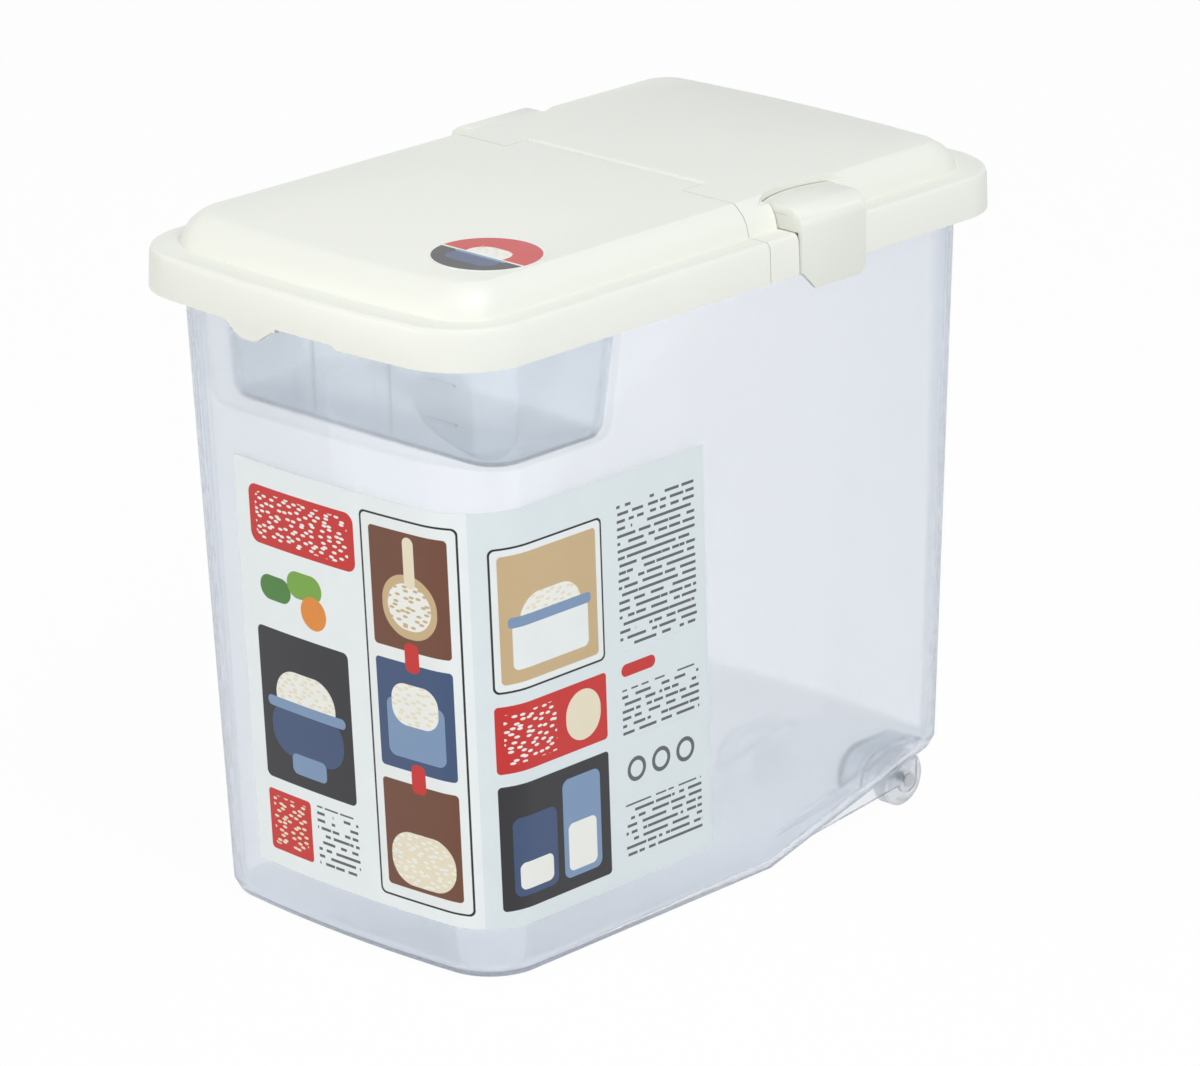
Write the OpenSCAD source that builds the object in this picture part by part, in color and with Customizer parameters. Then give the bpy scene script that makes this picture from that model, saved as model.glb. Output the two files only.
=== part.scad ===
// Rice bin with a sliding measuring tray, a flip-up front lid, a clipped rear
// lid and two caster wheels under the rear slope. Millimetres, +Z up, front at -Y.
// The origin is on the floor under the middle of the lid.

/* [Overall size] */
// Width over the two side clips
lid_w = 217; // [205:1:230]
// Depth of the lid, front to rear
lid_d = 373; // [355:1:390]
// Height from the floor to the lid's top
total_h = 324.5; // [305:0.5:340]

/* [Lid] */
// Thickness of the lid walls
lid_t = 2.4; // [2:0.1:2.8]
// Radius of the lid's corners in plan
lid_r = 37; // [32:1:40]
// Bulge of the short sides in plan
end_bow = 3.4; // [0:0.2:4.4]
// Height of the skirt that hangs round the rim
skirt_h = 18.5; // [17:0.5:22]
// Height of the raised tier over the ledge
tier_h = 14; // [13:0.5:16]
// Width of the ledge between skirt and tier
ledge_w = 12.6; // [11:0.2:13.4]
// How fast the corners of the raised tier tighten towards its top
corner_in = 1.1; // [0.8:0.05:1.2]
// How much further the front slope runs to the top
slope_front = 6; // [3:0.5:8]
// How much further the rear slope runs to the top
slope_rear = 9; // [3:0.5:11]
// How far the clips stand out of the skirt
clip_proud = 1; // [0.6:0.1:1.4]
// Height of the seal rib that sits on the rim
rib_h = 2.2; // [2.1:0.1:2.6]
// Thickness of the seal rib
rib_t = 2; // [1.6:0.1:2.2]

// Left end of the lift tab, left of the middle
tab_x1 = 33.4; // [28:0.2:40]
// Right end of the lift tab, left of the middle
tab_x0 = 2.4; // [0:0.2:6]
// How far the lift tab hangs below the skirt
tab_h = 6.6; // [4:0.2:8]
// Right end of the thumb notch beside the tab
notch_x = 34; // [20:1:40]
// Height of the thumb notch
notch_h = 1.8; // [1:0.2:3]

/* [Lid hinge] */
// Where the two lids part, behind the middle
split_y = 10.5; // [6:0.5:14]
// Distance from the parting line back to the hinge
hinge_back = 12; // [10:0.5:14]
// Radius of the rolled bead on the front lid
bead_r = 3.2; // [3:0.1:3.5]
// Half the length of the bead
bead_half = 54; // [46:1:58]
// Radius of the hinge pins
pin_r = 2; // [1.6:0.1:2.2]
// Length of each hinge pin
pin_len = 9; // [7:0.5:11]
// Radial play of pins in their bores
pin_fit = 0.05; // [0.03:0.01:0.08]
// Gap between parts that move past each other
gap = 0.4; // [0.3:0.05:0.5]

/* [Side clips] */
// Distance from the hinge back to the clip
clip_back = 7.5; // [7:0.5:12]
// Length of the clip
clip_len = 43.5; // [38:0.5:48]
// Wall of the clip
clip_t = 2.2; // [2:0.1:2.4]
// Length of the grip below the skirt
grip_h = 8.3; // [6:0.1:9]
// How far the finger scoops cut into the top
scoop_in = 4.7; // [3.5:0.1:6]
// Depth of the scoops, and so of the clips' tops
scoop_h = 3.2; // [3:0.1:3.8]
// Radius of the clip's pins
clip_pin_r = 1.8; // [1.5:0.1:1.9]
// Length of each clip pin
clip_pin_len = 4.2; // [3.5:0.1:5]
// Radius of the finger scoop beside the clip
scoop_r = 55; // [50:1:70]

/* [Bin] */
// Wall thickness of the bin
wall = 2.2; // [1.8:0.1:2.6]
// How far the lid overhangs the bin's walls
overhang = 10.3; // [9.5:0.1:11.5]
// Inward draft of each side wall, rim to floor
draft_side = 7.2; // [5:0.2:9]
// Inward draft of the front wall
draft_front = 21.2; // [15:0.2:24]
// Inward draft of the rear wall
draft_rear = 8.8; // [6:0.2:12]
// Corner radius at the rim
bin_r_top = 38; // [32:1:42]
// Corner radius at the floor
bin_r_bot = 27; // [22:1:32]
// Radius of the edge round the floor
foot_r = 6.5; // [4:0.5:8]
// Where the floor starts to rise, behind the middle
knee_y = 34; // [20:1:45]
// Rise of the floor at the rear wall
rise = 27; // [24:0.5:30]
// Thickness of the rim flange
rim_t = 2.4; // [2:0.1:2.6]
// Height of the rim's turned-down edge
rim_lip = 8; // [6:0.5:9]
// Gap between the rim and the lid's skirt
rim_gap = 0.9; // [0.8:0.1:1.1]

/* [Casters] */
// Radius of a wheel
wheel_r = 13.5; // [12:0.5:15]
// Width of a wheel
wheel_w = 9; // [7:0.5:10]
// Distance from the rear wall's top to the axle
caster_back = 38; // [36:0.5:48]
// How far the gussets of the cheeks reach forward under the floor
gusset = 86; // [50:1:90]
// Distance from the side wall to the outer cheek
caster_in = 5.4; // [5:0.2:9]
// Radius of the steel axle
axle_r = 2; // [1.5:0.1:2.5]
// Thickness of the cheeks that hold the axle
cheek_t = 2.2; // [1.8:0.1:2.4]
// Side gap between a wheel and its cheeks
wheel_gap = 0.7; // [0.4:0.1:1]
// Room behind the wheel inside its well, and half the room over it
well_gap = 3; // [2:0.5:4]
// How far the well reaches ahead of the wheel
well_ahead = 19.5; // [8:0.5:22]
// Radius of the well's front edge
well_r = 12; // [8:0.5:14]

/* [Sliding tray] */
// Side gap between the tray and the bin's walls at the rim
tray_side = 6.5; // [5:0.1:8]
// Distance from the bin's front wall to the tray
tray_ahead = 32; // [28:1:38]
// Length of the tray
tray_len = 86; // [70:1:100]
// Depth of the tray below the rim
tray_h = 70; // [60:1:78]
// Wall thickness of the tray
tray_t = 1.8; // [1.5:0.1:2]
// Inward draft of the tray's walls
tray_draft = 4; // [3:0.2:6]
// Thickness of the rails that carry the tray
rail_t = 2; // [1.6:0.1:2.4]
// Corner radius of the tray
tray_r = 15; // [12:1:18]
// Width of the flange at the front and rear
tray_lip = 9; // [6:0.5:11]
// Half the length of the tray's finger edge
finger_half = 60; // [40:1:64]
// Height of the finger edge
finger_h = 4; // [3:0.5:8]
// Distance of the tray's front ribs from the middle
rib_x = 23; // [16:1:36]
// Place of the measuring marks, right of the middle
mark_x = 46; // [30:1:52]
// Length of a measuring mark
mark_len = 17; // [10:1:20]
// Height from one measuring mark to the next
mark_gap = 18; // [14:1:22]

/* [Printed wrap and sticker] */
// Bottom edge of the printed wrap above the floor
wrap_z = 26; // [20:1:40]
// Height of the printed wrap
wrap_h = 197; // [170:1:205]
// Where the wrap ends on the front, left of the middle
wrap_left = 51; // [40:1:60]
// Where the wrap ends on the side, ahead of the middle
wrap_back = 15; // [10:1:40]
// Lean of the wrap's end on the front
lean_front = -3.7; // [-6:0.1:6]
// Lean of the wrap's end on the side
lean_side = 12; // [6:0.5:14]
// Thickness of the printed sheet
film = 0.3; // [0.2:0.05:0.4]
// Radius of the round sticker on the front lid
sticker_r = 25.3; // [20:0.1:26]
// Room between the sticker and the side edge of the top
sticker_side = 1; // [0.5:0.5:4]
// Room between the sticker and the front edge of the top
sticker_front = 15; // [4:0.5:20]

/* [Hidden] */
$fa = 5;
$fs = 0.6;
e = 0.01;
// draws the slices over the rising floor in a little, so that the bin's form stays convex
crease = 0.1;

// levels
ledge_z = total_h - tier_h;
skirt_z = ledge_z - skirt_h;
rim_z = ledge_z - lid_t - rib_h - 0.3;
// half sizes of the lid's skirt and of its top, which is drawn in by the slopes
hx = lid_w / 2 - clip_proud;
hy = lid_d / 2;
top_in = ledge_w + 9.8;
// half sizes of the bin and its rim
bin_hx = hx - overhang;
bin_hy = hy - overhang;
rim_in = lid_t + rim_gap;
rim_hx = hx - rim_in;
rim_hy = hy - rim_in;
rib_hx = rim_hx - 1;
rib_hy = rim_hy - 1;
// the hinge of the front lid and the bay its bead turns in
hinge_y = split_y + hinge_back;
hinge_z = total_h - bead_r;
seat_r = bead_r + 0.8 + gap;
bay_hx = bead_half + gap;
bay_z = hinge_z - seat_r;
bay_y = hinge_y + bead_r + 0.9;
bay_edge = 1.4;
// the casters
side_in = bin_hx - draft_side;
axle_y = bin_hy - caster_back;
cheek_x = side_in - caster_in - wall - cheek_t;
wheel_x = cheek_x - wheel_gap - wheel_w;
cheek_in = wheel_x - wheel_gap - cheek_t;
cheek_r = axle_r + 4.4;
axle_head = 0.8;
well_top = 2 * (wheel_r + well_gap);
// the clip and its pivot
clip_hx = lid_w / 2;
clip_y0 = hinge_y + clip_back;
clip_y1 = clip_y0 + clip_len;
clip_top = total_h - scoop_h;
clip_round = 9;
scoop_x = hx - top_in - scoop_in;
boss_r = 3.5;
boss_len = clip_pin_len + 2.4;
pivot_x = scoop_x + 8.1;
pivot_z = clip_top - boss_r - 0.5;
swing_r = norm([pivot_x - scoop_x - gap, clip_top - pivot_z]);
hook_z = rim_z - rim_t - rim_lip - 1.8;
hook_x = rim_hx - 1.4;
// the tray and its rails
rail_z = rim_z - 2.5;
tray_z = rail_z + 0.3;
tray_hx = bin_hx - wall - tray_side;
tray_front = bin_hy - tray_ahead;
tray_rear = tray_front - tray_len;
tray_floor = rim_z - tray_h;
runner_hx = bin_hx - wall - 0.6;
rail_half = bin_hy - bin_r_top + 3;

// ---------- plan outlines ----------

// one rounded corner as a list of points
function corner(cx, cy, r, a0, a1, n = 14) =
    [for (i = [0:n]) let (a = a0 + (a1 - a0) * i / n) [cx + r * cos(a), cy + r * sin(a)]];

// one bowed side between two points, its ends left out
function bowed(p, q, nx, ny, bow, n = 10) =
    [for (i = [1:n - 1]) let (t = i / n, b = 4 * bow * t * (1 - t))
        [p.x + (q.x - p.x) * t + nx * b, p.y + (q.y - p.y) * t + ny * b]];

// rounded rectangle whose short sides bow outwards; front and rear are distances from the middle
function plan(w, front, rear, r, bow = end_bow) =
    let (a = atan(4 * bow / (2 * w - 2 * r)), cx = w - r,
         cf = front - bow - r * cos(a), cr = rear - bow - r * cos(a),
         fr = corner(cx, -cf, r, -90 + a, 0), rr = corner(cx, cr, r, 0, 90 - a),
         rl = corner(-cx, cr, r, 90 + a, 180), fl = corner(-cx, -cf, r, 180, 270 - a),
         n = len(fr) - 1)
    concat(fr, rr, bowed(rr[n], rl[0], 0, 1, bow), rl, fl, bowed(fl[n], fr[0], 0, -1, bow));

// thin slice of the lid's outline, drawn in from the skirt and k times further by the slopes
module lid_slice(z, inset, k = 0)
    translate([0, 0, z]) linear_extrude(e)
        polygon(plan(hx - inset, hy - inset - k * slope_front, hy - inset - k * slope_rear,
                     lid_r - corner_in * inset));

// outline of the bin at a height, drawn in by inset
module bin_outline(z, inset) {
    k = 1 - z / rim_z;
    polygon(plan(bin_hx - draft_side * k - inset, bin_hy - draft_front * k - inset,
                 bin_hy - draft_rear * k - inset, bin_r_top + (bin_r_bot - bin_r_top) * k - 0.65 * inset));
}

// extrudes a profile drawn in Y and Z along X
module along_x(x0, x1) translate([x0, 0, 0]) rotate([90, 0, 90]) linear_extrude(x1 - x0) children();

// extrudes a profile drawn in X and Z along Y
module along_y(y0, y1) translate([0, y1, 0]) rotate([90, 0, 0]) linear_extrude(y1 - y0) children();

module both_sides() {
    children();
    mirror([1, 0, 0]) children();
}

// ---------- bin ----------

// the bin's form, drawn in by off on every side; the floor rises behind the knee
module bin_form(off = 0) {
    hull() {
        translate([0, 0, rim_z - e]) linear_extrude(e) bin_outline(rim_z, off);
        for (s = [[foot_r, 0], [foot_r * 0.3, foot_r * 0.3], [0, foot_r]]) {
            translate([0, 0, s[0] + off]) linear_extrude(e) intersection() {
                bin_outline(s[0] + off, off + s[1]);
                translate([-hx, -hy]) square([2 * hx, hy + knee_y]);
            }
            translate([0, 0, rise + s[0] + off]) linear_extrude(e)
                bin_outline(rise + s[0] + off, off + s[1] + crease);
        }
    }
}

// side view of a wheel well, grown by off: a dome with a steep front and a rounder rear
module well_profile(off = 0) {
    y0 = axle_y - wheel_r - well_ahead;
    y1 = axle_y + wheel_r + well_gap;
    polygon(concat([[y0 - off, -wheel_r]],
                   corner(y0 + well_r, well_top - well_r, well_r + off, 180, 90, 8),
                   corner(y1 - 1.5 * well_r, well_top - 1.5 * well_r, 1.5 * well_r + off, 90, 0, 10),
                   [[y1 + off, -wheel_r]]));
}

// height of the rising floor's underside
function floor_z(y) =
    rise * (y - knee_y) / (bin_hy - draft_rear * (1 - rise / rim_z) - foot_r - knee_y);

// side view of a cheek: rounded end round the axle and a long gusset ahead of it
module cheek_profile() {
    y = axle_y - gusset;
    translate([axle_y, wheel_r]) circle(cheek_r);
    translate([axle_y - cheek_r, wheel_r]) square([2 * cheek_r, floor_z(axle_y) + wall / 2 - wheel_r]);
    polygon([[axle_y - cheek_r + e, wheel_r - 1.5], [y, floor_z(y)], [y, floor_z(y) + wall / 2],
             [axle_y, floor_z(axle_y) + wall / 2], [axle_y, wheel_r - 1.5]]);
}

module rim() {
    // flange
    translate([0, 0, rim_z - rim_t]) linear_extrude(rim_t) difference() {
        polygon(plan(rim_hx, rim_hy, rim_hy, lid_r - 0.65 * rim_in));
        bin_outline(rim_z - rim_t, wall);
    }
    // turned-down edge
    translate([0, 0, rim_z - rim_t - rim_lip]) linear_extrude(rim_lip + e) difference() {
        polygon(plan(rim_hx, rim_hy, rim_hy, lid_r - 0.65 * rim_in));
        polygon(plan(rim_hx - 2, rim_hy - 2, rim_hy - 2, lid_r - 0.65 * (rim_in + 2)));
    }
}

module bin_body() color([0.80, 0.86, 0.92, 0.55]) difference() {
    union() {
        difference() {
            bin_form();
            difference() {
                bin_form(wall);
                // the wheel wells stand up inside the bin
                both_sides() along_x(cheek_in, cheek_x + cheek_t) well_profile(wall);
            }
            translate([0, 0, rim_z - e]) linear_extrude(1) bin_outline(rim_z, wall);
            both_sides() along_x(cheek_in + cheek_t, cheek_x) well_profile();
        }
        rim();
        // rails for the tray
        both_sides() translate([tray_hx + 0.9, -rail_half, rail_z - rail_t])
            cube([bin_hx - wall / 2 - tray_hx - 0.9, 2 * rail_half, rail_t]);
        both_sides() {
            along_x(cheek_in, cheek_in + cheek_t) cheek_profile();
            along_x(cheek_x, cheek_x + cheek_t) cheek_profile();
        }
    }
    // axle bores, open under the floor
    both_sides() translate([cheek_in - 2, axle_y, wheel_r]) rotate([0, 90, 0])
        cylinder(r = axle_r + 0.02, h = cheek_x + cheek_t - cheek_in + 2.2);
}

// ---------- casters ----------

module caster_wheel() color([0.86, 0.89, 0.92])
    translate([wheel_x, axle_y, wheel_r]) rotate([0, 90, 0]) difference() {
        union() {
            cylinder(r = wheel_r - 0.8, h = wheel_w);
            translate([0, 0, 0.8]) cylinder(r = wheel_r, h = wheel_w - 1.6);
        }
        // dished faces round the hub
        for (z = [-1, wheel_w - 2.2]) translate([0, 0, z]) difference() {
            cylinder(r = wheel_r - 3, h = 3.2);
            translate([0, 0, -1]) cylinder(r = axle_r + 2.4, h = 6);
        }
        translate([0, 0, -1]) cylinder(r = axle_r + 0.06, h = wheel_w + 2);
    }

module caster_axle() color([0.7, 0.72, 0.74])
    translate([cheek_in - axle_head, axle_y, wheel_r]) rotate([0, 90, 0]) {
        len = cheek_x + cheek_t - cheek_in + axle_head;
        cylinder(r = axle_r, h = len);
        // head on the outer cheek
        translate([0, 0, len]) cylinder(r = axle_r + 1.4, h = axle_head);
    }

// ---------- sliding tray ----------

// the tray's form, drawn in by off; its rear wall leans more than the others
module tray_form(off, floor_off, top) {
    hull() {
        translate([0, 0, top]) linear_extrude(e)
            polygon(plan(tray_hx - off, tray_front - off, -(tray_rear + off), tray_r - off / 2, 0.4));
        for (s = [[6, 0], [1.8, 1.8], [0, 6]])
            translate([0, 0, tray_floor + s[0] + floor_off]) linear_extrude(e)
                polygon(plan(tray_hx - tray_draft - s[1] - off, tray_front - tray_draft * 0.6 - s[1] - off,
                             -(tray_rear + tray_draft * 1.7 + s[1] + off), tray_r - s[1] / 2 - off / 2, 0.4));
    }
}

module slide_tray() color([0.78, 0.84, 0.92, 0.6]) difference() {
    union() {
        tray_form(0, 0, tray_z + 1);
        // flange that rides on the bin's rails
        translate([0, 0, tray_z]) linear_extrude(tray_t)
            polygon(plan(runner_hx, tray_front + tray_lip, -(tray_rear - tray_lip), tray_r + 4, 0.4));
        // turned-down finger edge at the front
        translate([-finger_half, -tray_front - tray_lip + 0.4, tray_z - finger_h])
            cube([2 * finger_half, tray_t, finger_h + e]);
        // two ribs down the front wall
        both_sides() along_x(rib_x, rib_x + 1.2) polygon([[-tray_front - 0.7, tray_z + e],
            [-tray_front - 0.7 + tray_draft * 0.6, tray_floor + 7],
            [-tray_front + 1 + tray_draft * 0.6, tray_floor + 7], [-tray_front + 1, tray_z + e]]);
        // measuring marks on the front wall
        for (h = [mark_gap, 2 * mark_gap])
            translate([mark_x, -tray_front + tray_draft * 0.6 * (1 - h / tray_h) - 0.5, tray_floor + h])
                cube([mark_len, tray_t, 1.2]);
    }
    tray_form(tray_t, tray_t, tray_z + tray_t + 1);
}

// ---------- lids ----------

// outside of both lids before they are cut apart: skirt with ledge, and the raised tier
module lid_outside() {
    hull() {
        lid_slice(skirt_z, 0);
        lid_slice(ledge_z - 3, 0.6);
        lid_slice(ledge_z - 0.9, 1.4);
        lid_slice(ledge_z - e, 2.9);
    }
    hull() {
        lid_slice(ledge_z - 2, ledge_w, 0.3);
        lid_slice(ledge_z + tier_h * 0.36, ledge_w + 1.8, 0.45);
        lid_slice(ledge_z + tier_h * 0.66, ledge_w + 4, 0.62);
        lid_slice(ledge_z + tier_h * 0.92, ledge_w + 8, 0.86);
        lid_slice(total_h - e, top_in, 1);
    }
}

// hollow of both lids
module lid_inside() {
    hull() {
        lid_slice(skirt_z - 1, lid_t);
        lid_slice(ledge_z - lid_t - 1.6, lid_t + 0.5);
        lid_slice(ledge_z - lid_t, lid_t + 1.6);
    }
    hull() {
        lid_slice(ledge_z - lid_t - 1, ledge_w + lid_t, 0.3);
        lid_slice(ledge_z + tier_h * 0.27, ledge_w + lid_t + 1.5, 0.45);
        lid_slice(ledge_z + tier_h * 0.55, ledge_w + lid_t + 3.8, 0.62);
        lid_slice(ledge_z + tier_h * 0.73, ledge_w + lid_t + 6.6, 0.8);
        lid_slice(total_h - lid_t, lid_t + top_in - 0.2, 1);
    }
}

// seal rib that sits on the rim, clear of the tray
module seal_rib() translate([0, 0, ledge_z - lid_t - rib_h]) linear_extrude(rib_h + 1) difference() {
    polygon(plan(rib_hx, rib_hy, rib_hy, lid_r - 3));
    polygon(plan(rib_hx - rib_t, rib_hy - rib_t, rib_hy - rib_t, lid_r - 3 - 0.65 * rib_t));
}

module front_lid() color([0.95, 0.95, 0.92]) difference() {
    union() {
        difference() {
            lid_outside();
            difference() {
                lid_inside();
                seal_rib();
                // stiffening wall across the open end
                translate([-hx, split_y - 5, ledge_z + 5]) cube([2 * hx, 2, tier_h]);
            }
            // the top runs on to the bead between the ears
            both_sides() translate([bead_half, split_y, 0]) cube([hx, 2 * hy, total_h + 10]);
            translate([-bead_half - 1, split_y, 0]) cube([2 * bead_half + 2, 2 * hy, total_h - lid_t]);
            translate([-bead_half - 1, hinge_y, 0]) cube([2 * bead_half + 2, 2 * hy, total_h + 10]);
        }
        // rolled bead and the pins at its ends
        translate([-bead_half, hinge_y, hinge_z]) rotate([0, 90, 0]) cylinder(r = bead_r, h = 2 * bead_half);
        translate([-bead_half - pin_len, hinge_y, hinge_z]) rotate([0, 90, 0])
            cylinder(r = pin_r, h = 2 * (bead_half + pin_len));
        // lift tab that carries the skirt's wall on downwards
        intersection() {
            along_y(-hy - 1, -hy + 3 * lid_t) polygon([[-tab_x1, skirt_z + 1.4], [-tab_x1, skirt_z - 0.4],
                [7.4 - tab_x1, skirt_z + 1 - tab_h], [10.4 - tab_x1, skirt_z - tab_h],
                [-tab_x0 - 13.6, skirt_z - tab_h], [-tab_x0 - 10.6, skirt_z + 1 - tab_h],
                [-tab_x0, skirt_z + 1.4]]);
            linear_extrude(total_h) difference() {
                polygon(plan(hx, hy, hy, lid_r));
                polygon(plan(hx - lid_t, hy - lid_t, hy - lid_t, lid_r - lid_t));
            }
        }
    }
    // thumb notch beside the tab
    translate([0, 0, skirt_z]) along_y(-hy - 3, -hy + 10)
        polygon([[-tab_x0, -1], [-tab_x0, notch_h], [notch_x - 3, notch_h], [notch_x, 0], [notch_x, -1]]);
}

// plan of the finger scoop beside a clip, and of the bay the clip turns in
module scoop_plan(t = 0)
    translate([scoop_x + scoop_r, clip_y0 + clip_len / 2]) circle(scoop_r + t, $fn = 180);
module bay_plan(t = 0)
    translate([pivot_x - swing_r - gap - t, clip_y0 - gap - t]) square([hx, clip_len + 2 * gap + 2 * t]);

module rear_lid() color([0.94, 0.95, 0.93]) difference() {
    lid_outside();
    difference() {
        lid_inside();
        seal_rib();
        // wall across the open end, and the walls round the bay of the bead
        translate([-hx, split_y + gap, bay_z - lid_t]) cube([2 * hx, lid_t, tier_h]);
        translate([-bay_hx - lid_t, split_y + gap, bay_z - lid_t])
            cube([2 * (bay_hx + lid_t), bay_y - split_y - gap + lid_t, tier_h]);
        both_sides() {
            // pad round the bore of a hinge pin
            translate([bay_hx, hinge_y - seat_r, bay_z - lid_t])
                cube([pin_len + 2 * lid_t, bay_y + lid_t - hinge_y + seat_r, tier_h]);
            // lining of the bay and of the scoop
            translate([0, 0, ledge_z - 1]) linear_extrude(tier_h) bay_plan(lid_t);
            translate([0, 0, clip_top - lid_t]) linear_extrude(tier_h) scoop_plan(lid_t);
            // bosses for the clip pins
            for (y = [clip_y0 - gap - boss_len, clip_y1 + gap - e]) along_y(y, y + boss_len) {
                translate([pivot_x, pivot_z]) circle(boss_r);
                translate([pivot_x - boss_r, ledge_z - 1]) square([2 * boss_r, pivot_z - ledge_z + 1]);
            }
        }
    }
    // everything ahead of the parting plane
    translate([-2 * hx, -2 * hy, 0]) cube([4 * hx, 2 * hy + split_y + gap, total_h + 10]);
    // bay for the bead and for the lid that leans back
    along_x(-bay_hx, bay_hx) polygon([[split_y, bay_z], [bay_y, bay_z], [bay_y, total_h - bay_edge],
        [bay_y + bay_edge + 1, total_h + 1], [split_y, total_h + 1]]);
    both_sides() {
        // bay and finger scoop of the clip
        translate([0, 0, ledge_z]) linear_extrude(clip_top - ledge_z + e) bay_plan();
        translate([0, 0, clip_top]) linear_extrude(tier_h) scoop_plan();
        // the skirt is open behind the clip
        translate([hx - lid_t - 0.8, clip_y0 - gap, skirt_z - 1])
            cube([lid_t + 4, clip_len + 2 * gap, skirt_h + 2]);
        // bores
        translate([bay_hx - 1, hinge_y, hinge_z]) rotate([0, 90, 0])
            cylinder(r = pin_r + pin_fit, h = pin_len + 1.4);
        translate([pivot_x, clip_y0 - gap - clip_pin_len - 0.2, pivot_z]) rotate([-90, 0, 0])
            cylinder(r = clip_pin_r + pin_fit, h = clip_len + 2 * (gap + clip_pin_len + 0.2));
    }
}

// ---------- side clips ----------

// end view of the clip's cover, drawn in by t; its inner edge is a short lip
module clip_cover(t) {
    r = clip_round - t;
    cx = clip_hx - clip_round;
    cz = clip_top - clip_round;
    low = skirt_z - grip_h - (t > 0 ? 1 : 0);
    left = t > 0 ? scoop_x + gap + t : cx;
    lip = t > 0 ? low : clip_top - boss_r;
    polygon(concat(
        [[scoop_x + gap + t, lip], [scoop_x + gap + t, cz + r]],
        [for (a = [90:-6:0]) [cx + r * cos(a), cz + r * sin(a)]],
        [[clip_hx - t, low], [left, low]], t > 0 ? [] : [[cx, lip]]));
}

module side_clip() color([0.95, 0.95, 0.90]) difference() {
    union() {
        // cover: shoulder over the ledge and plate down over the skirt, its inner edge curved with the scoop
        intersection() {
            difference() {
                along_y(clip_y0, clip_y1) clip_cover(0);
                along_y(clip_y0 - 1, clip_y1 + 1) clip_cover(clip_t);
            }
            linear_extrude(total_h) scoop_plan(-gap);
        }
        // end cheeks with the pivot
        for (y = [clip_y0, clip_y1 - clip_t]) along_y(y, y + clip_t) {
            intersection() {
                clip_cover(0);
                translate([pivot_x, pivot_z - 1]) square([clip_hx - pivot_x, scoop_r]);
            }
            translate([pivot_x, pivot_z]) circle(boss_r - 0.1);
            translate([pivot_x, ledge_z + gap]) square([clip_hx - pivot_x - clip_t / 2, pivot_z - ledge_z]);
        }
        // hook that reaches under the rim
        along_y(clip_y0 + 2, clip_y1 - 5) polygon([[clip_hx - 1, hook_z], [hook_x, hook_z],
            [hook_x, hook_z - 1], [clip_hx - 1, hook_z - 3.4]]);
        // pivot pins
        translate([pivot_x, clip_y0 - clip_pin_len, pivot_z]) rotate([-90, 0, 0])
            cylinder(r = clip_pin_r, h = clip_pin_len + 1);
        translate([pivot_x, clip_y1 - 1, pivot_z]) rotate([-90, 0, 0])
            cylinder(r = clip_pin_r, h = clip_pin_len + 1);
    }
    // cut corners of the grip
    along_x(hx - 12, clip_hx + 1) {
        polygon([[clip_y0 - 1, skirt_z - grip_h - 1], [clip_y0 + 10, skirt_z - grip_h - 1],
                 [clip_y0 + 10, skirt_z - grip_h], [clip_y0 + 1, skirt_z + 0.4], [clip_y0 - 1, skirt_z + 0.4]]);
        polygon([[clip_y1 + 1, skirt_z - grip_h - 1], [clip_y1 - 4, skirt_z - grip_h - 1],
                 [clip_y1 - 4, skirt_z - grip_h], [clip_y1 + 1, skirt_z - grip_h + 5]]);
    }
}

// ---------- printed wrap and sticker ----------

// the ends of the sheet lean, because its corner follows the draft of the bin
module printed_wrap() color([0.93, 0.93, 0.93]) intersection() {
    difference() {
        bin_form(-film);
        bin_form();
    }
    z1 = wrap_z + wrap_h;
    union() {
        // front panel
        along_y(-hy, -bin_hy / 2) polygon([[hx, wrap_z], [hx, z1], [-wrap_left - lean_front / 2, z1],
                                           [-wrap_left + lean_front / 2, wrap_z]]);
        // side panel
        along_x(bin_hx / 2, hx) polygon([[-hy, wrap_z], [-hy, z1], [-wrap_back - lean_side / 2, z1],
                                         [-wrap_back + lean_side / 2, wrap_z]]);
    }
}

module lid_sticker() color([0.75, 0.15, 0.15])
    translate([hx - top_in - sticker_side - sticker_r,
               -(hy - top_in - slope_front) + sticker_front + sticker_r, total_h])
        cylinder(r = sticker_r, h = film);

bin_body();
slide_tray();
rear_lid();
front_lid();
mirror([1, 0, 0]) side_clip();  // clip_left
side_clip();  // clip_right
mirror([1, 0, 0]) caster_wheel();  // caster_wheel_left
caster_wheel();  // caster_wheel_right
mirror([1, 0, 0]) caster_axle();  // caster_axle_left
caster_axle();  // caster_axle_right
printed_wrap();
lid_sticker();
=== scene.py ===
import math

import bpy
from mathutils import Matrix, Vector


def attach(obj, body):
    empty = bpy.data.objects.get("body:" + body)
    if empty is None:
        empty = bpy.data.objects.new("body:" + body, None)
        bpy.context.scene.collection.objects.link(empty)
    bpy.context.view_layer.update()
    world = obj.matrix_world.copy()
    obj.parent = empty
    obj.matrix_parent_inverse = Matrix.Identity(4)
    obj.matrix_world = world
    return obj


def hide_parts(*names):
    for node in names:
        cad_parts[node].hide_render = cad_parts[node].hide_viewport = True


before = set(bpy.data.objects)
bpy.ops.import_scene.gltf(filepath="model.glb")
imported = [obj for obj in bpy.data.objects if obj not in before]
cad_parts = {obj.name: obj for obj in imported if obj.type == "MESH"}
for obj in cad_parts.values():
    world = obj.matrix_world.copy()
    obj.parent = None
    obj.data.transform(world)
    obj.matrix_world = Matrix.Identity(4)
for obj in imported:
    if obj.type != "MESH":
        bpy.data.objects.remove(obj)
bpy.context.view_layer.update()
scene = bpy.context.scene


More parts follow.
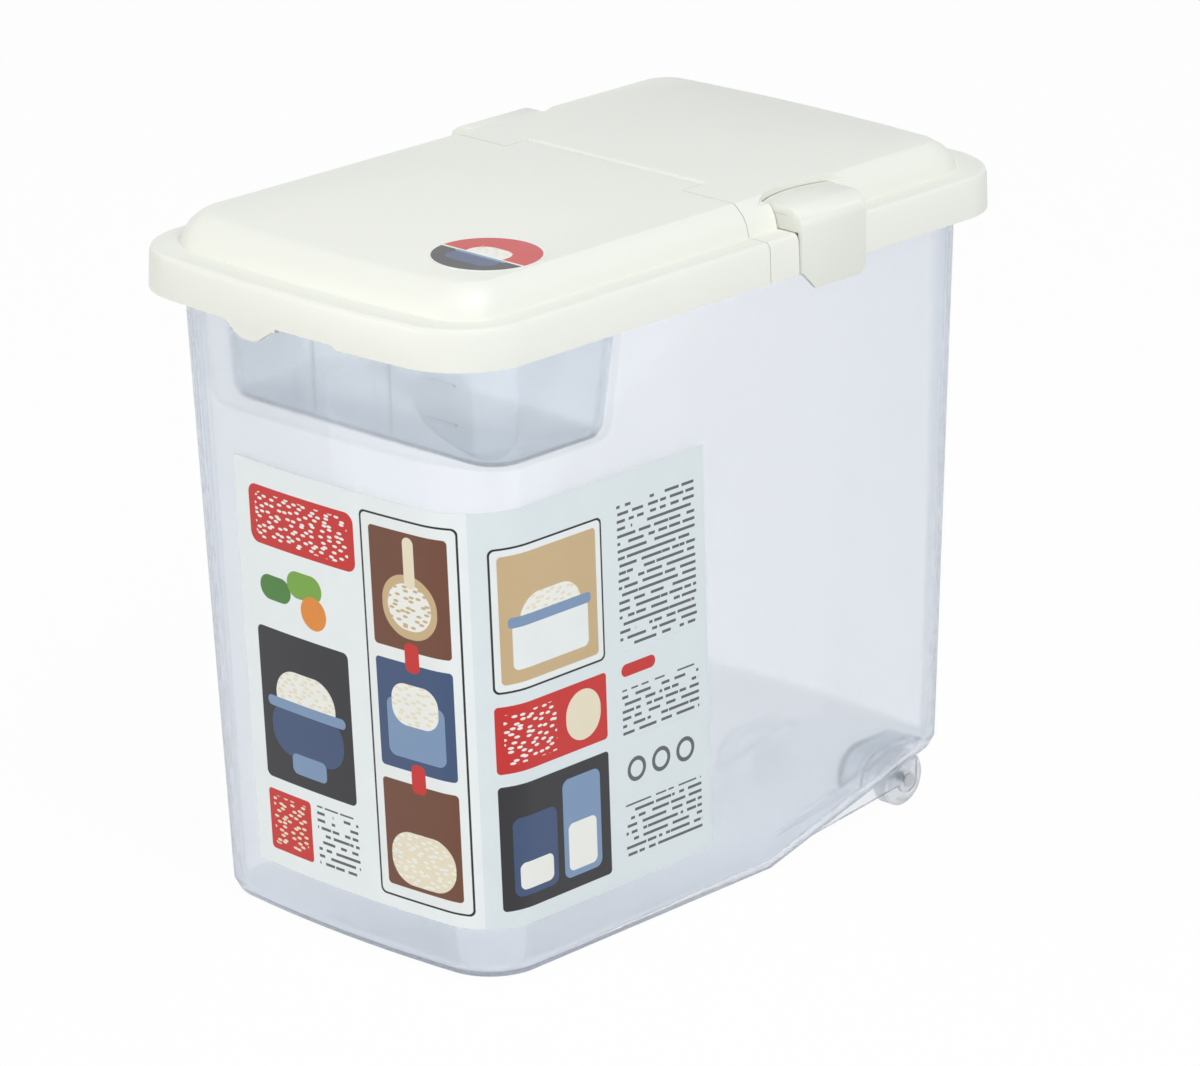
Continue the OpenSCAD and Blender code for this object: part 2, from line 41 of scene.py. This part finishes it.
def screen(r, g, b):  # a colour as read off a screen, turned linear
    def one(c):
        c = c / 255
        return c / 12.92 if c <= 0.04045 else ((c + 0.055) / 1.055) ** 2.4

    return (one(r), one(g), one(b), 1)


view = {
    "azimuth": 43.22,
    "elevation": 19.357,
    "roll": -0.33,
    "distance": 2.7707,
    "aimHeight": 0.17,
    "shiftRight": 0.009875,
    "shiftUp": -0.015691,
    "focal": 6066.6 / 1200 * 36,
    "sensor": 36,
    "near": 0.05,
    "far": 30,
}


def placeCamera():
    a, e, r = (math.radians(view[k]) for k in ("azimuth", "elevation", "roll"))
    back = Vector((math.sin(a) * math.cos(e), -math.cos(a) * math.cos(e), math.sin(e)))
    level = Vector((math.cos(a), math.sin(a), 0))
    right = level * math.cos(r) + back.cross(level) * math.sin(r)
    up = back.cross(right)
    place = Vector((0, 0, view["aimHeight"])) + back * view["distance"]
    place += right * view["shiftRight"] + up * view["shiftUp"]
    data = bpy.data.cameras.new("camera")
    data.sensor_width = view["sensor"]
    data.lens = view["focal"]
    data.clip_start = view["near"]
    data.clip_end = view["far"]
    camera = bpy.data.objects.new("camera", data)
    camera.matrix_world = Matrix.Translation(place) @ Matrix((right, up, back)).transposed().to_4x4()
    scene.collection.objects.link(camera)
    scene.camera = camera


lamps = {
    "key": {"at": (-1.3, -2.5, 0.8), "size": 1.6, "power": 26, "colour": (1.0, 0.98, 0.93)},
    "fill": {"at": (1.9, -0.7, 2.0), "size": 1.5, "power": 19, "colour": (1.0, 1.0, 1.0)},
    "high": {"at": (1.45, -0.55, 2.6), "size": 1.5, "power": 34, "colour": (1.0, 1.0, 1.0)},
}


studio = {
    "ambient": (0.87, 0.95, 1.0, 1),
    "strength": 0.35,
    "paper": (0.88, 0.88, 0.88, 1),
    "glow": 0.97,
    "floorSize": 12,
    "floorDrop": 0.0004,
    "lampAim": 0.2,
}


def addLamp(name, lamp):
    data = bpy.data.lights.new(name, "AREA")
    data.shape = "DISK"
    data.size = lamp["size"]
    data.energy = lamp["power"]
    data.color = lamp["colour"]
    light = bpy.data.objects.new(name, data)
    light.location = lamp["at"]
    light.rotation_mode = "QUATERNION"
    aim = Vector((0, 0, studio["lampAim"]))
    light.rotation_quaternion = (Vector(lamp["at"]) - aim).to_track_quat("Z", "Y")
    scene.collection.objects.link(light)


def link(tree, source, target):
    tree.links.new(source, target)


def addNode(tree, kind, settings=None, **values):  # a node, its settings, and numbers for its inputs
    node = tree.nodes.new("ShaderNode" + kind)
    for key, value in (settings or {}).items():
        setattr(node, key, value)
    for key, value in values.items():
        node.inputs[key.replace("_", " ")].default_value = value
    return node


def whiteToEye(tree):  # 1 for what the eye sees straight, through clear plastic or in a gloss
    path = addNode(tree, "LightPath")
    first = addNode(tree, "Math", {"operation": "MAXIMUM"})
    second = addNode(tree, "Math", {"operation": "MAXIMUM"})
    link(tree, path.outputs["Is Camera Ray"], first.inputs[0])
    link(tree, path.outputs["Is Transmission Ray"], first.inputs[1])
    link(tree, first.outputs[0], second.inputs[0])
    link(tree, path.outputs["Is Glossy Ray"], second.inputs[1])
    return second.outputs[0]


def makeStudio():
    world = bpy.data.worlds.new("studio")
    world.use_nodes = True
    scene.world = world
    tree = world.node_tree
    tree.nodes.clear()
    out = addNode(tree, "OutputWorld")
    ambient = addNode(tree, "Background", Color=studio["ambient"], Strength=studio["strength"])
    white = addNode(tree, "Background", Color=(1, 1, 1, 1), Strength=1.0)
    mix = addNode(tree, "MixShader")
    link(tree, whiteToEye(tree), mix.inputs[0])
    link(tree, ambient.outputs[0], mix.inputs[1])
    link(tree, white.outputs[0], mix.inputs[2])
    link(tree, mix.outputs[0], out.inputs[0])

    bpy.ops.object.select_all(action="DESELECT")
    bpy.ops.mesh.primitive_plane_add(size=studio["floorSize"], location=(0, 0, -studio["floorDrop"]))
    floor = bpy.context.object
    floor.name = "floor"
    mat = bpy.data.materials.new("floorPaper")
    mat.use_nodes = True
    tree = mat.node_tree
    tree.nodes.clear()
    out = addNode(tree, "OutputMaterial")
    paper = addNode(tree, "BsdfDiffuse", Color=studio["paper"])
    glow = addNode(tree, "Emission", Color=(1, 1, 1, 1), Strength=1.0)
    share = addNode(tree, "Math", {"operation": "MULTIPLY"})
    share.inputs[1].default_value = studio["glow"]
    mix = addNode(tree, "MixShader")
    link(tree, whiteToEye(tree), share.inputs[0])
    link(tree, share.outputs[0], mix.inputs[0])
    link(tree, paper.outputs[0], mix.inputs[1])
    link(tree, glow.outputs[0], mix.inputs[2])
    link(tree, mix.outputs[0], out.inputs[0])
    floor.data.materials.append(mat)


placeCamera()
for name, lamp in lamps.items():
    addLamp(name, lamp)
makeStudio()
print("stage ready")


def newMaterial(name):
    mat = bpy.data.materials.new(name)
    mat.use_nodes = True
    tree = mat.node_tree
    tree.nodes.clear()
    out = addNode(tree, "OutputMaterial")
    skin = addNode(tree, "BsdfPrincipled")
    link(tree, skin.outputs[0], out.inputs[0])
    return mat, tree, skin, out


surface = {"grainDetail": 2.0, "grainDepth": 0.0002, "driftScale": 9.0, "driftDetail": 3.0, "shade": 0.955,
           "plasticDrift": 0.05, "clearDrift": 0.03, "clearGrain": 0.02, "index": 1.49}


def addGrain(tree, skin, scale, strength):  # moulded texture and a slow drift of gloss
    place = addNode(tree, "TexCoord")
    fine = addNode(tree, "TexNoise", Scale=scale, Detail=surface["grainDetail"])
    bump = addNode(tree, "Bump", Strength=strength, Distance=surface["grainDepth"])
    link(tree, place.outputs["Object"], fine.inputs["Vector"])
    link(tree, fine.outputs["Fac"], bump.inputs["Height"])
    link(tree, bump.outputs[0], skin.inputs["Normal"])
    drift = addNode(tree, "TexNoise", Scale=surface["driftScale"], Detail=surface["driftDetail"])
    link(tree, place.outputs["Object"], drift.inputs["Vector"])
    return place, drift


def driftGloss(tree, drift, skin, rough, spread):
    gloss = addNode(tree, "MapRange", To_Min=rough - spread, To_Max=rough + spread)
    link(tree, drift.outputs["Fac"], gloss.inputs["Value"])
    link(tree, gloss.outputs[0], skin.inputs["Roughness"])


softness = {"radius": (1.0, 0.95, 0.85), "scale": 0.002}


def plasticMaterial(name, colour, rough, grain=700.0, strength=0.08, soft=0.0):
    mat, tree, skin, out = newMaterial(name)
    skin.inputs["IOR"].default_value = surface["index"]
    place, drift = addGrain(tree, skin, grain, strength)
    shaded = tuple(c * surface["shade"] for c in colour[:3]) + (1,)
    tone = addNode(tree, "MixRGB", Color1=colour, Color2=shaded)
    link(tree, drift.outputs["Fac"], tone.inputs["Fac"])
    link(tree, tone.outputs[0], skin.inputs["Base Color"])
    driftGloss(tree, drift, skin, rough, surface["plasticDrift"])
    if soft:  # light that goes into the plastic and comes out nearby
        skin.inputs["Subsurface Weight"].default_value = soft
        skin.inputs["Subsurface Radius"].default_value = softness["radius"]
        skin.inputs["Subsurface Scale"].default_value = softness["scale"]
    return mat


def clearMaterial(name, finish):
    mat, tree, skin, out = newMaterial(name)
    facing = addNode(tree, "LayerWeight", Blend=0.5)  # painted shade: the base colour turns a deeper blue where the eye looks along the clear wall, so its rim looks deeper
    rim = addNode(tree, "Math", {"operation": "POWER"})
    rim.inputs[1].default_value = finish["rimFall"]
    body = addNode(tree, "MixRGB", Color1=finish["colour"], Color2=finish["rim"])
    link(tree, facing.outputs["Facing"], rim.inputs[0])
    link(tree, rim.outputs[0], body.inputs["Fac"])
    link(tree, body.outputs[0], skin.inputs["Base Color"])
    skin.inputs["Transmission Weight"].default_value = finish["through"]
    skin.inputs["IOR"].default_value = finish["bend"]
    skin.inputs["Alpha"].default_value = finish["cover"]  # thin plastic also lets light straight through
    place, drift = addGrain(tree, skin, finish["grain"], surface["clearGrain"])
    driftGloss(tree, drift, skin, finish["rough"], surface["clearDrift"])
    tint = addNode(tree, "VolumeAbsorption", Color=finish["tint"], Density=finish["depth"])
    link(tree, tint.outputs[0], out.inputs["Volume"])
    return mat


def vectorMath(tree, operation, first, second=None):
    node = addNode(tree, "VectorMath", {"operation": operation})
    link(tree, first, node.inputs[0])
    if second is not None:
        node.inputs[1].default_value = second
    return node


shapeEdge = {"leastRadius": 0.2, "blur": 0.1}  # mm


def spotMask(tree, place, box, radius):  # 1 inside a box with round corners, all in mm
    left, low, right, high = (k / 1000 for k in box)
    r = max(radius, shapeEdge["leastRadius"]) / 1000
    offset = vectorMath(tree, "SUBTRACT", place, ((left + right) / 2, (low + high) / 2, 0))
    folded = vectorMath(tree, "ABSOLUTE", offset.outputs[0])
    core = ((right - left) / 2 - r, (high - low) / 2 - r, 0)
    beyond = vectorMath(tree, "SUBTRACT", folded.outputs[0], core)
    outside = vectorMath(tree, "MAXIMUM", beyond.outputs[0], (0, 0, 0))
    length = vectorMath(tree, "LENGTH", outside.outputs[0])
    edge = addNode(tree, "MapRange")
    edge.inputs["From Min"].default_value = r + shapeEdge["blur"] / 1000
    edge.inputs["From Max"].default_value = r - shapeEdge["blur"] / 1000
    link(tree, length.outputs["Value"], edge.inputs["Value"])
    return edge.outputs[0]


grains = {"turn": 0.6, "perMetre": (190, 420, 1), "scatter": 0.75, "outer": 0.3, "inner": 0.25}


def grainMask(tree, place):  # scattered grains, about 5 by 2 mm
    turned = addNode(tree, "Mapping", Rotation=(0, 0, grains["turn"]), Scale=grains["perMetre"])
    flat = {"voronoi_dimensions": "2D"}
    cells = addNode(tree, "TexVoronoi", flat, Scale=1.0, Randomness=grains["scatter"])
    edge = addNode(tree, "MapRange")
    edge.inputs["From Min"].default_value = grains["outer"]
    edge.inputs["From Max"].default_value = grains["inner"]
    link(tree, place, turned.inputs["Vector"])
    link(tree, turned.outputs[0], cells.inputs["Vector"])
    link(tree, cells.outputs["Distance"], edge.inputs["Value"])
    return edge.outputs[0]


bars = {"perMetre": 120, "pitch": 3.5, "gap": 0.6, "snap": 0.001, "breakScale": 1.7, "breakShare": 0.4}


def barMask(tree, place):  # rows of short grey bars
    scaled = vectorMath(tree, "MULTIPLY", place, (bars["perMetre"], 1000 / bars["pitch"], 0))
    rows = vectorMath(tree, "FRACTION", scaled.outputs[0])
    parts = addNode(tree, "SeparateXYZ")
    rowEdge = addNode(tree, "Math", {"operation": "GREATER_THAN"})
    rowEdge.inputs[1].default_value = bars["gap"]
    steps = vectorMath(tree, "SNAP", scaled.outputs[0], (bars["snap"], 1, 1))
    breaks = addNode(tree, "TexNoise", {"noise_dimensions": "2D"}, Scale=bars["breakScale"], Detail=0.0)
    breakEdge = addNode(tree, "Math", {"operation": "GREATER_THAN"})
    breakEdge.inputs[1].default_value = bars["breakShare"]
    both = addNode(tree, "Math", {"operation": "MULTIPLY"})
    link(tree, rows.outputs[0], parts.inputs[0])
    link(tree, parts.outputs["Y"], rowEdge.inputs[0])
    link(tree, steps.outputs[0], breaks.inputs["Vector"])
    link(tree, breaks.outputs["Fac"], breakEdge.inputs[0])
    link(tree, rowEdge.outputs[0], both.inputs[0])
    link(tree, breakEdge.outputs[0], both.inputs[1])
    return both.outputs[0]


printed = {"disc": 24.2, "driftScale": 60.0, "driftDetail": 4.0, "worn": (0.93, 0.93, 0.93, 1),
           "glossDrift": 0.04, "waveScale": 14.0, "waveDetail": 1.0, "waveStrength": 0.15,
           "waveHeight": 0.0006}


def inkMaterial(name, sheet, uvName=None, centre=None):  # a printed sheet: shapes laid over each other
    mat, tree, skin, out = newMaterial(name)
    skin.inputs["IOR"].default_value = surface["index"]
    if uvName:
        place = addNode(tree, "UVMap", {"uv_map": uvName}).outputs[0]
    else:
        spot = addNode(tree, "TexCoord")
        moved = vectorMath(tree, "SUBTRACT", spot.outputs["Object"], (centre[0], centre[1], 0))
        place = vectorMath(tree, "MULTIPLY", moved.outputs[0], (1, 1, 0)).outputs[0]
    masks = {"grain": grainMask(tree, place), "bars": barMask(tree, place)}
    r = printed["disc"]
    masks["disc"] = spotMask(tree, place, (-r, -r, r, r), r)
    colour = None
    for box, radius, ink, pattern in sheet["shapes"]:
        mask = spotMask(tree, place, box, radius)
        if pattern:
            both = addNode(tree, "Math", {"operation": "MULTIPLY"})
            link(tree, mask, both.inputs[0])
            link(tree, masks[pattern], both.inputs[1])
            mask = both.outputs[0]
        layer = addNode(tree, "MixRGB", Color1=sheet["paper"], Color2=inks[ink])
        link(tree, mask, layer.inputs["Fac"])
        if colour:
            link(tree, colour, layer.inputs["Color1"])
        colour = layer.outputs[0]
    spot = addNode(tree, "TexCoord")  # slight drift of the ink, and the sheet's soft waves
    drift = addNode(tree, "TexNoise", Scale=printed["driftScale"], Detail=printed["driftDetail"])
    worn = addNode(tree, "MixRGB", {"blend_type": "MULTIPLY"}, Color2=printed["worn"])
    link(tree, spot.outputs["Object"], drift.inputs["Vector"])
    link(tree, drift.outputs["Fac"], worn.inputs["Fac"])
    link(tree, colour, worn.inputs["Color1"])
    link(tree, worn.outputs[0], skin.inputs["Base Color"])
    wave = addNode(tree, "TexNoise", Scale=printed["waveScale"], Detail=printed["waveDetail"])
    bump = addNode(tree, "Bump", Strength=printed["waveStrength"], Distance=printed["waveHeight"])
    link(tree, spot.outputs["Object"], wave.inputs["Vector"])
    link(tree, wave.outputs["Fac"], bump.inputs["Height"])
    link(tree, bump.outputs[0], skin.inputs["Normal"])
    driftGloss(tree, drift, skin, sheet["rough"], printed["glossDrift"])
    return mat


inks = {
    "red": screen(205, 38, 34),
    "charcoal": screen(38, 38, 42),
    "brown": screen(112, 66, 44),
    "cream": screen(238, 226, 198),
    "rice": screen(244, 243, 236),
    "blue": screen(126, 152, 186),
    "deepBlue": screen(58, 80, 118),
    "green": screen(120, 168, 60),
    "leaf": screen(70, 128, 52),
    "orange": screen(232, 140, 48),
    "grey": screen(92, 96, 102),
    # painted shade: a greyer paper colour for the wrap's side, which gets less light
    "paintedSideShade": screen(228, 235, 237),
    "tan": screen(206, 178, 134),
    "black": screen(24, 24, 26),
    "white": screen(240, 243, 242),
}
wrapSheet = {  # u runs from the corner's middle, left and right; v from the lower edge; all in mm
    "paper": screen(241, 245, 245),
    "rough": 0.34,
    "shapes": [
        # painted shade: the side half of the sheet, right of the corner's middle, is laid in a greyer paper
        # colour than the front; the three rings' middles below show the same colour
        ((-2, -5, 150, 205), 0.5, "paintedSideShade", None),
        # red band with grains over the front
        ((-128, 158, -62, 186), 5, "red", None),
        ((-124, 161, -66, 183), 4, "rice", "grain"),
        # two leaves and a fruit
        ((-124, 132, -104, 144), 6, "leaf", None),
        ((-106, 137, -84, 150), 6.5, "green", None),
        ((-98, 124, -82, 140), 8, "orange", None),
        # dark picture with a bowl
        ((-128, 44, -70, 118), 3, "charcoal", None),
        ((-118, 74, -80, 100), 13, "rice", None),
        ((-118, 74, -80, 100), 13, "cream", "grain"),
        ((-122, 58, -76, 84), 12, "deepBlue", None),
        ((-124, 80, -74, 85), 2.5, "blue", None),
        ((-110, 50, -88, 60), 3, "blue", None),
        # red square with grains, and grey rows beside it
        ((-128, 8, -100, 38), 2, "red", None),
        ((-125, 11, -103, 35), 1, "cream", "grain"),
        ((-96, 8, -70, 38), 1, "grey", "bars"),
        # framed column next to the corner
        ((-58, 6, -6, 190), 3, "black", None),
        ((-57, 7, -7, 189), 2.4, "white", None),
        ((-53, 128, -11, 184), 2, "brown", None),
        ((-47, 134, -17, 164), 14, "tan", None),
        ((-44, 138, -20, 160), 11, "rice", None),
        ((-44, 138, -20, 160), 11, "tan", "grain"),
        ((-34, 158, -28, 182), 3, "cream", None),
        ((-53, 70, -11, 122), 2, "deepBlue", None),
        ((-48, 76, -16, 104), 4, "blue", None),
        ((-45, 92, -19, 112), 8, "rice", None),
        ((-45, 92, -19, 112), 8, "cream", "grain"),
        ((-53, 12, -11, 64), 2, "brown", None),
        ((-50, 14, -14, 40), 12, "cream", None),
        ((-50, 14, -14, 40), 12, "rice", "grain"),
        ((-36, 118, -28, 132), 3, "red", None),
        ((-36, 60, -28, 74), 3, "red", None),
        # pictures on the side
        ((6, 112, 72, 180), 3, "black", None),
        ((7, 113, 71, 179), 2.4, "white", None),
        ((10, 116, 68, 176), 2, "tan", None),
        ((20, 130, 58, 156), 12, "rice", None),
        ((20, 130, 58, 156), 12, "cream", "grain"),
        ((16, 122, 62, 144), 3, "white", None),
        ((14, 142, 64, 147), 2, "blue", None),
        ((6, 74, 72, 106), 2, "red", None),
        ((10, 78, 40, 102), 1, "rice", "grain"),
        ((46, 78, 68, 102), 11, "cream", None),
        ((6, 8, 72, 68), 2, "charcoal", None),
        ((12, 14, 38, 52), 4, "deepBlue", None),
        ((42, 14, 66, 62), 4, "blue", None),
        ((45, 17, 63, 40), 3, "rice", None),
        ((15, 17, 35, 30), 3, "rice", None),
        # grey rows and three rings
        ((82, 112, 132, 184), 1, "grey", "bars"),
        ((82, 100, 104, 106), 3, "red", None),
        ((82, 70, 132, 94), 1, "grey", "bars"),
        ((84, 48, 96, 60), 6, "grey", None),
        ((86, 50, 94, 58), 4, "paintedSideShade", None),
        ((100, 48, 112, 60), 6, "grey", None),
        ((102, 50, 110, 58), 4, "paintedSideShade", None),
        ((116, 48, 128, 60), 6, "grey", None),
        ((118, 50, 126, 58), 4, "paintedSideShade", None),
        ((82, 12, 132, 38), 1, "grey", "bars"),
    ],
}
stickerSheet = {
    "centre": (0.0589, -0.1181),
    "paper": screen(240, 242, 240),
    "rough": 0.3,
    "shapes": [
        ((-25, -25, 25, 25), 25, "red", "disc"),
        ((-25, -25, 25, -2), 0.5, "charcoal", "disc"),
        ((-25, -3.4, 25, -2), 0.5, "rice", "disc"),
        ((-11, -8, 11, 9), 8, "rice", None),
        ((-11, 0, 11, 9), 4, "cream", "grain"),
        ((-14, -15, 14, -3), 6, "deepBlue", None),
        ((-15, -5, 15, -3), 1, "blue", None),
    ],
}
# each "rim" colour is painted shade, laid on where the eye looks along the clear plastic
clear = {
    "shell": {"colour": screen(250, 252, 255), "rim": screen(126, 166, 204), "rimFall": 3.0, "through": 0.97,
              "bend": 1.3, "cover": 0.84, "grain": 260.0, "rough": 0.12, "tint": screen(140, 182, 226),
              "depth": 4.5},
    "tray": {"colour": screen(250, 253, 255), "rim": screen(126, 166, 204), "rimFall": 3.2, "through": 0.97,
             "bend": 1.3, "cover": 0.84, "grain": 260.0, "rough": 0.1, "tint": screen(140, 182, 226),
             "depth": 5.0},
    "wheel": {"colour": screen(251, 252, 254), "rim": screen(176, 202, 226), "rimFall": 3.0, "through": 0.8,
              "bend": 1.3, "cover": 0.8, "grain": 400.0, "rough": 0.38, "tint": screen(150, 190, 226),
              "depth": 2.0},
}
finishes = {
    "lid": plasticMaterial("lidPlastic", screen(240, 240, 231), 0.42, soft=0.15),
    "clip": plasticMaterial("clipPlastic", screen(240, 240, 231), 0.42, soft=0.15),
    "bin": clearMaterial("clearShell", clear["shell"]),
    "tray": clearMaterial("clearTray", clear["tray"]),
    "wheel": clearMaterial("wheelPlastic", clear["wheel"]),
    "axle": plasticMaterial("axleSteel", screen(190, 192, 196), 0.3),
    "wrap": inkMaterial("printedSheet", wrapSheet, uvName="sheet"),
    "sticker": inkMaterial("stickerSheet", stickerSheet, centre=stickerSheet["centre"]),
}
finishes["axle"].node_tree.nodes["Principled BSDF"].inputs["Metallic"].default_value = 1.0


joining = {"merge": 0.00002, "edgeSegments": 2}


def dress(node, body, slotName, finish, angle=32, edge=0):  # a merged copy, smooth where the solid curves
    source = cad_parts[node]
    bpy.ops.object.select_all(action="DESELECT")
    source.select_set(True)
    bpy.context.view_layer.objects.active = source
    bpy.ops.object.duplicate()
    piece = bpy.context.object
    piece.name = node + "Shell"
    for key in list(piece.keys()):
        del piece[key]
    piece.parent = None
    piece.matrix_world = Matrix.Identity(4)
    bpy.ops.object.mode_set(mode="EDIT")
    bpy.ops.mesh.select_all(action="SELECT")
    bpy.ops.mesh.remove_doubles(threshold=joining["merge"])
    bpy.ops.object.mode_set(mode="OBJECT")
    bpy.ops.mesh.customdata_custom_splitnormals_clear()
    if edge:  # asks for a small rounding, which short edges close by hold to far less
        rounding = piece.modifiers.new("rounding", "BEVEL")
        rounding.width = edge
        rounding.segments = joining["edgeSegments"]
        rounding.limit_method = "ANGLE"
        rounding.angle_limit = math.radians(angle)
        bpy.ops.object.modifier_apply(modifier="rounding")
    bpy.ops.object.shade_smooth_by_angle(angle=math.radians(angle))
    piece.data.materials.clear()
    piece.data.materials.append(finishes[finish])
    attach(piece, body)
    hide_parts(node)
    return piece


dressed = {
    "bin_body": ("bin", "clear_shell", "bin"),
    "slide_tray": ("tray", "tray_plastic", "tray"),
    "rear_lid": ("bin", "lid_plastic", "lid", 24),
    "front_lid": ("flip_lid", "lid_plastic", "lid", 24),
    "clip_left": ("left_clip", "clip_plastic", "clip", 30, 0.0003),
    "clip_right": ("right_clip", "clip_plastic", "clip", 30, 0.0003),
    "caster_wheel_left": ("left_wheel", "wheel_plastic", "wheel"),
    "caster_wheel_right": ("right_wheel", "wheel_plastic", "wheel"),
    "caster_axle_left": ("bin", "axle_steel", "axle"),
    "caster_axle_right": ("bin", "axle_steel", "axle"),
    "printed_wrap": ("bin", "printed_sheet", "wrap"),
    "lid_sticker": ("flip_lid", "sticker_sheet", "sticker"),
}
pieces = {node: dress(node, *rest) for node, rest in dressed.items()}

form = {"rim": 305.6, "side": 97.2, "sideDraft": 7.2, "front": 176.2, "frontDraft": 21.2, "bow": 3.4,
        "cornerTop": 38, "cornerLow": 27, "sheetLow": 26, "blank": (220, 100)}


def unroll(piece):  # lays the wrap's own map flat round the bin's corner, one unit to the metre
    layer = piece.data.uv_layers.new(name="sheet")
    blank = tuple(k / 1000 for k in form["blank"])
    middle = Vector((0, 0, form["rim"] / 2000))
    inner = [face for face in piece.data.polygons if face.normal.dot(face.center - middle) < 0]
    unprinted = {index for face in inner for index in face.loop_indices}
    for loop in piece.data.loops:
        if loop.index in unprinted:  # the side on the bin's wall is plain
            layer.data[loop.index].uv = blank
            continue
        x, y, z = piece.data.vertices[loop.vertex_index].co * 1000
        k = 1 - z / form["rim"]
        r = form["cornerTop"] + (form["cornerLow"] - form["cornerTop"]) * k
        cx = form["side"] - form["sideDraft"] * k - r
        cy = r + form["bow"] - form["front"] + form["frontDraft"] * k
        half = r * math.pi / 4
        if x <= cx:
            u = x - cx - half
        elif y >= cy:
            u = y - cy + half
        else:
            u = r * math.atan2(x - cx, cy - y) - half
        layer.data[loop.index].uv = (u / 1000, (z - form["sheetLow"]) / 1000)


unroll(pieces["printed_wrap"])
print("pieces dressed")

scene.view_settings.view_transform = "Standard"
